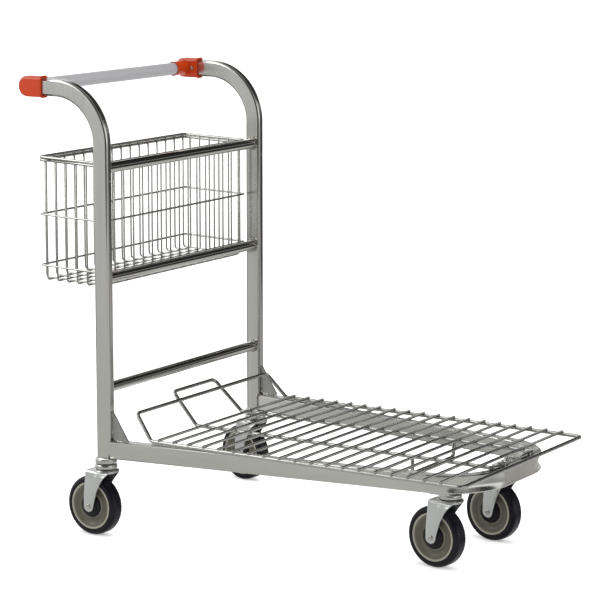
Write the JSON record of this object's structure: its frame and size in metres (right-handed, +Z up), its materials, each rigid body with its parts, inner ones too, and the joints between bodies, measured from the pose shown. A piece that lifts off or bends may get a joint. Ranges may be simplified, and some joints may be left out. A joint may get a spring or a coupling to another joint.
{
  "type": "wire deck hand trolley",
  "caption": "Nesting platform trolley with a hinged wire deck, a wire basket under the handle bar and swivel castors.",
  "frame": {"origin": "centre of the trolley's length and width at floor level", "axes": "+X towards the nose, the low end of the deck; +Z up; the trolley's left side is +Y"},
  "size_m": [1.0314, 0.623, 0.947],
  "materials": {
    "zinc_plated_steel": "bright zinc plate, smooth and slightly satin",
    "handle_grey": "satin grey",
    "orange_plastic": "glossy orange-red moulding",
    "tyre_rubber": "smooth blue-black rubber",
    "wheel_centre": "matt olive-grey moulding",
    "hub_cap_black": "matt black"
  },
  "bodies": {
    "frame": {"upright_left": "zinc_plated_steel", "upright_right": "zinc_plated_steel", "crossbar_lower": "zinc_plated_steel", "crossbar_middle": "zinc_plated_steel", "crossbar_top": "zinc_plated_steel", "handle_bar": "handle_grey", "handle_fitting_left": "orange_plastic", "handle_fitting_right": "orange_plastic", "fitting_screw_left": "zinc_plated_steel", "fitting_screw_right": "zinc_plated_steel", "chassis_frame": "zinc_plated_steel", "gusset_left": "zinc_plated_steel", "gusset_right": "zinc_plated_steel", "castor_plate_left": "zinc_plated_steel", "castor_plate_right": "zinc_plated_steel", "hinge_staple_left": "zinc_plated_steel", "hinge_staple_right": "zinc_plated_steel", "basket_front_wall": "zinc_plated_steel", "basket_rear_wall": "zinc_plated_steel", "basket_end_left": "zinc_plated_steel", "basket_end_right": "zinc_plated_steel", "basket_base": "zinc_plated_steel", "castor_head_rear_left": "zinc_plated_steel", "castor_head_rear_right": "zinc_plated_steel", "castor_head_front_left": "zinc_plated_steel", "castor_head_front_right": "zinc_plated_steel"},
    "deck": {"deck_grid": "zinc_plated_steel", "rear_loop_wide": "zinc_plated_steel", "rear_loop_narrow": "zinc_plated_steel", "under_deck_hoop": "zinc_plated_steel"},
    "castor_rear_left": {"castor_fork_rear_left": "zinc_plated_steel", "axle_bolt_rear_left": "zinc_plated_steel", "axle_nut_rear_left": "zinc_plated_steel"},
    "wheel_rear_left": {"tyre_rear_left": "tyre_rubber", "wheel_rim_rear_left": "wheel_centre", "hub_bearing_rear_left": "hub_cap_black"},
    "castor_rear_right": {"castor_fork_rear_right": "zinc_plated_steel", "axle_bolt_rear_right": "zinc_plated_steel", "axle_nut_rear_right": "zinc_plated_steel"},
    "wheel_rear_right": {"tyre_rear_right": "tyre_rubber", "wheel_rim_rear_right": "wheel_centre", "hub_bearing_rear_right": "hub_cap_black"},
    "castor_front_left": {"castor_fork_front_left": "zinc_plated_steel", "axle_bolt_front_left": "zinc_plated_steel", "axle_nut_front_left": "zinc_plated_steel"},
    "wheel_front_left": {"tyre_front_left": "tyre_rubber", "wheel_rim_front_left": "wheel_centre", "hub_bearing_front_left": "hub_cap_black"},
    "castor_front_right": {"castor_fork_front_right": "zinc_plated_steel", "axle_bolt_front_right": "zinc_plated_steel", "axle_nut_front_right": "zinc_plated_steel"},
    "wheel_front_right": {"tyre_front_right": "tyre_rubber", "wheel_rim_front_right": "wheel_centre", "hub_bearing_front_right": "hub_cap_black"}
  },
  "joints": [
    {"name": "deck_hinge", "type": "hinge", "parent": "frame", "child": "deck", "pos_m": [0.48975, 0, 0.2078], "axis": [0, 1, 0], "range_deg": [0, 30]},
    {"name": "castor_swivel_rear_left", "type": "hinge", "parent": "frame", "child": "castor_rear_left", "pos_m": [-0.31225, 0.28, 0.145], "axis": [0, 0, 1], "continuous": true},
    {"name": "wheel_spin_rear_left", "type": "hinge", "parent": "castor_rear_left", "child": "wheel_rear_left", "pos_m": [-0.34278, 0.28538, 0.0625], "axis": [0.1736, 0.9848, 0], "continuous": true},
    {"name": "castor_swivel_rear_right", "type": "hinge", "parent": "frame", "child": "castor_rear_right", "pos_m": [-0.31225, -0.28, 0.145], "axis": [0, 0, 1], "continuous": true},
    {"name": "wheel_spin_rear_right", "type": "hinge", "parent": "castor_rear_right", "child": "wheel_rear_right", "pos_m": [-0.34322, -0.27865, 0.0625], "axis": [0.0436, 0.999, 0], "continuous": true},
    {"name": "castor_swivel_front_left", "type": "hinge", "parent": "frame", "child": "castor_front_left", "pos_m": [0.41025, 0.119, 0.145], "axis": [0, 0, 1], "continuous": true},
    {"name": "wheel_spin_front_left", "type": "hinge", "parent": "castor_front_left", "child": "wheel_front_left", "pos_m": [0.37955, 0.12331, 0.0625], "axis": [0.1392, 0.9903, 0], "continuous": true},
    {"name": "castor_swivel_front_right", "type": "hinge", "parent": "frame", "child": "castor_front_right", "pos_m": [0.41025, -0.119, 0.145], "axis": [0, 0, 1], "continuous": true},
    {"name": "wheel_spin_front_right", "type": "hinge", "parent": "castor_front_right", "child": "wheel_front_right", "pos_m": [0.37948, -0.11522, 0.0625], "axis": [0.1219, 0.9925, 0], "continuous": true}
  ]
}
